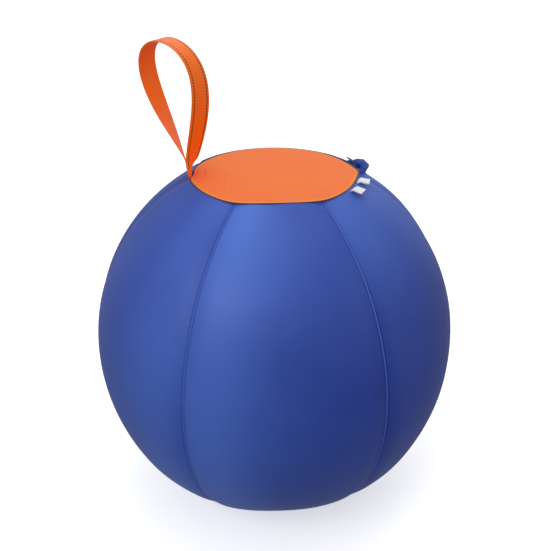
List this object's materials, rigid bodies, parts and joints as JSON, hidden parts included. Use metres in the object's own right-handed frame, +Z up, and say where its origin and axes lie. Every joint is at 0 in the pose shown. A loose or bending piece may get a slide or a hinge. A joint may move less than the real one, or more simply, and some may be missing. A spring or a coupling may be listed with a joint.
{
  "type": "play ball",
  "caption": "Large cloth-covered play ball: inflated bladder in a gored cover with flat top and base discs, a zip behind the top disc and a webbing carrying loop.",
  "frame": {"origin": "on the ball's axis, at the level of the floor that it stands on", "axes": "+Z up along the ball's axis; the carrying loop is on the -X side of the top disc; the zip runs round the +Y side; the front is -Y"},
  "size_m": [0.4518, 0.4498, 0.5832],
  "materials": {
    "cover_cloth": "fine satin weave",
    "disc_cloth": "fine ribbed weave",
    "base_cloth": "coated weave",
    "navy_thread": "thread",
    "maroon_thread": "thread",
    "zip_tape": "herringbone tape",
    "zip_teeth": "satin",
    "zip_metal": "enamelled",
    "webbing": "flat woven webbing",
    "orange_thread": "thread",
    "label_satin": "satin ribbon",
    "bladder_film": "semi-gloss",
    "valve_plastic": "gloss"
  },
  "bodies": {
    "root": {"gore_1": "cover_cloth", "gore_2": "cover_cloth", "gore_3": "cover_cloth", "gore_4": "cover_cloth", "gore_5": "cover_cloth", "gore_6": "cover_cloth", "top_disc": "disc_cloth", "base_disc": "base_cloth", "gore_seams": "navy_thread", "rim_seam": "maroon_thread", "base_seam": "navy_thread", "zip_tape_cover": "zip_tape", "zip_teeth_cover": "zip_teeth", "zip_end_stops": "zip_metal", "zip_placket": "cover_cloth", "loop_tails": "webbing", "loop_bartack": "orange_thread", "bladder": "bladder_film", "valve_neck": "valve_plastic"},
    "flap": {"top_flap": "disc_cloth", "zip_tape_flap": "zip_tape", "zip_teeth_flap": "zip_teeth"},
    "slider": {"zip_slider": "zip_metal"},
    "pull": {"zip_pull": "zip_metal"},
    "loop": {"loop_webbing": "webbing"},
    "label_1": {"care_label": "label_satin"},
    "label_2": {"size_label": "label_satin"},
    "plug": {"valve_plug": "valve_plastic"}
  },
  "joints": [
    {"name": "loop_hinge", "type": "hinge", "parent": "root", "child": "loop", "pos_m": [-0.095, 0.007, 0.4324], "axis": [0, -1, 0], "range_deg": [-55, 70], "stiffness_Nm_per_rad": 0.05},
    {"name": "zip_run", "type": "hinge", "parent": "root", "child": "slider", "pos_m": [0, 0, 0.43], "axis": [0, 0, 1], "range_deg": [0, 129]},
    {"name": "flap_hinge", "type": "hinge", "parent": "root", "child": "flap", "pos_m": [0, 0.0576, 0.4296], "axis": [1, 0, 0], "range_deg": [0, 75]},
    {"name": "plug_slide", "type": "slide", "parent": "root", "child": "plug", "axis": [0, 0, 1], "range_m": [0, 0.012]},
    {"name": "pull_hinge", "type": "hinge", "parent": "slider", "child": "pull", "pos_m": [0.10437, 0.03437, 0.42862], "axis": [0.8449, 0.2782, -0.4569], "range_deg": [0, 150]},
    {"name": "care_label_hinge", "type": "hinge", "parent": "root", "child": "label_1", "pos_m": [0.09987, -0.0249, 0.43039], "axis": [-0.2419, -0.9703, 0], "range_deg": [0, 75]},
    {"name": "size_label_hinge", "type": "hinge", "parent": "root", "child": "label_2", "pos_m": [0.08913, -0.05146, 0.43039], "axis": [-0.5, -0.866, 0], "range_deg": [0, 75]}
  ],
  "couplings": [
    {"joint": "flap_hinge", "follows": "zip_run", "ratio": 0.58},
    {"joint": "plug_slide", "follows": "zip_run", "m_per_rad": 0.0053}
  ]
}
